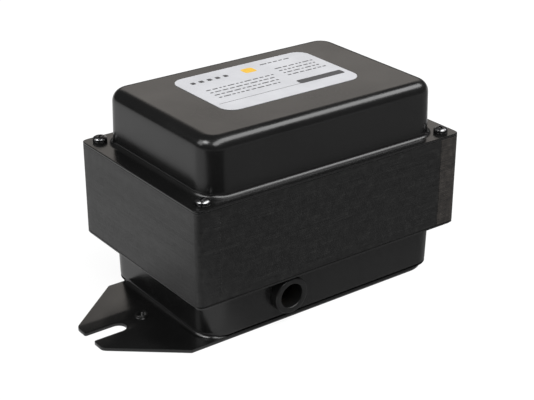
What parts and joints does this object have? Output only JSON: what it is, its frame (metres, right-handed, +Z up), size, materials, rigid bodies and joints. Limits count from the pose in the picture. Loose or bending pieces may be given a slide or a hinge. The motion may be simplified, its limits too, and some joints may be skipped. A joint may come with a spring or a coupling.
{
  "type": "ignition transformer",
  "caption": "Black enamelled ignition transformer with a laminated core between two drawn covers, a foot plate with one slotted ear, and a cable bushing in its side",
  "frame": {"origin": "Under the middle of the core, on the underside of the foot plate", "axes": "X along the long side with the slotted ear at -X, Y across with the cable bushing at -Y, Z up"},
  "size_m": [0.1544, 0.084, 0.0833],
  "materials": {
    "black_enamel": "semi-gloss black stoving enamel",
    "core_varnish": "black varnish on the edges of laminated steel",
    "screw_steel": "dull zinc plating",
    "bushing_plastic": "black moulded plastic",
    "outlet_plastic": "dark moulded insulation",
    "bobbin_plastic": "pale moulded plastic",
    "copper_wire": "enamelled copper wire",
    "wrap_paper": "oiled insulating paper",
    "shunt_steel": "bare electrical steel",
    "spacer_board": "pressed board",
    "potting_compound": "black potting compound",
    "contact_brass": "bare brass",
    "label_film": "white printed film"
  },
  "bodies": {
    "root": {"top_cover": "black_enamel", "bottom_shell": "black_enamel", "foot_plate": "black_enamel", "e_laminations": "core_varnish", "i_laminations": "core_varnish", "primary_bobbin": "bobbin_plastic", "secondary_left_bobbin": "bobbin_plastic", "secondary_right_bobbin": "bobbin_plastic", "primary_winding": "copper_wire", "secondary_left_winding": "copper_wire", "secondary_right_winding": "copper_wire", "primary_wrap": "wrap_paper", "secondary_wraps": "wrap_paper", "magnetic_shunts": "shunt_steel", "shunt_spacers": "spacer_board", "upper_potting": "potting_compound", "lower_potting": "potting_compound", "cable_bushing": "bushing_plastic", "hv_bushing_left": "outlet_plastic", "hv_bushing_right": "outlet_plastic", "hv_contacts": "contact_brass", "terminal_plate": "spacer_board", "primary_terminals": "contact_brass", "clamp_screws": "screw_steel", "rating_label": "label_film"}
  },
  "joints": []
}
